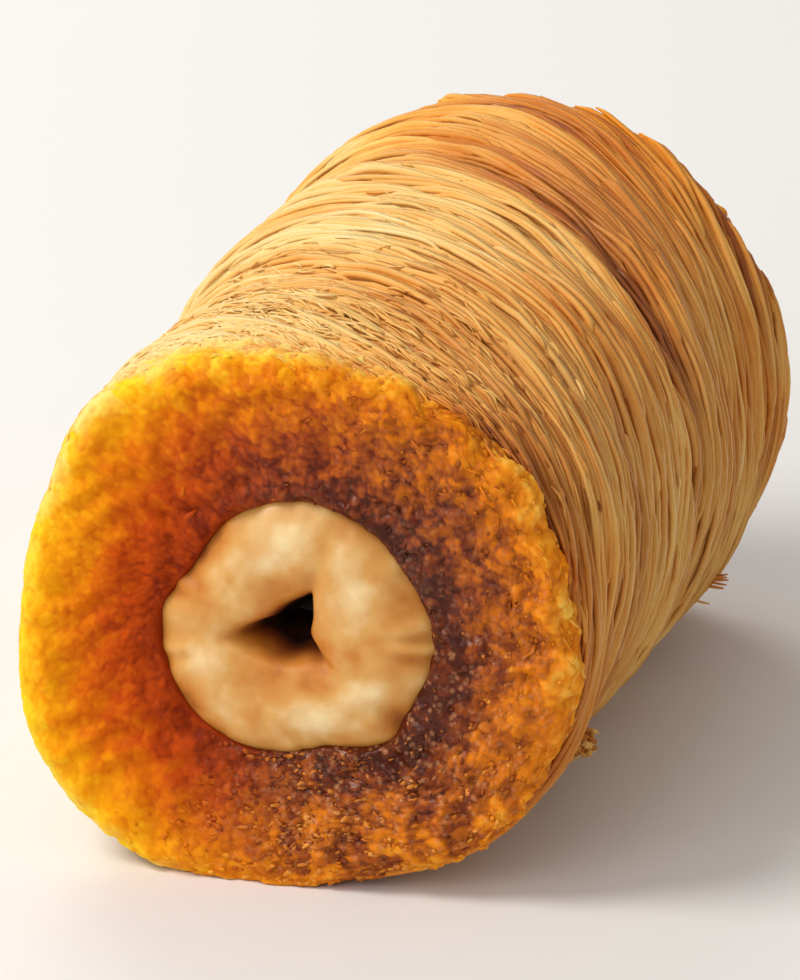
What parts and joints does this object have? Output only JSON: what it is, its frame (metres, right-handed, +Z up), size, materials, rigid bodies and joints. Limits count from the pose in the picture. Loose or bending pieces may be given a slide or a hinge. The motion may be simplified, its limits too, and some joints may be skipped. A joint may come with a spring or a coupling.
{
  "type": "kataifi roll",
  "caption": "Short cylinder of shredded dough threads wound round a nut filling, cut square at both ends and soaked in syrup.",
  "frame": {"origin": "on the surface that the roll rests on, under the middle of its box", "axes": "+Z up; the roll lies along Y, and the cut end that the picture shows faces -Y"},
  "size_m": [0.0294, 0.0436, 0.0273],
  "materials": {
    "dough": "baked dough threads, golden outside and browner near the nut, glossy with syrup",
    "nut": "smooth pale nut flesh, slightly oily, tan round its pit"
  },
  "bodies": {
    "root": {"dough_roll": "dough", "nut_filling": "nut"}
  },
  "joints": []
}
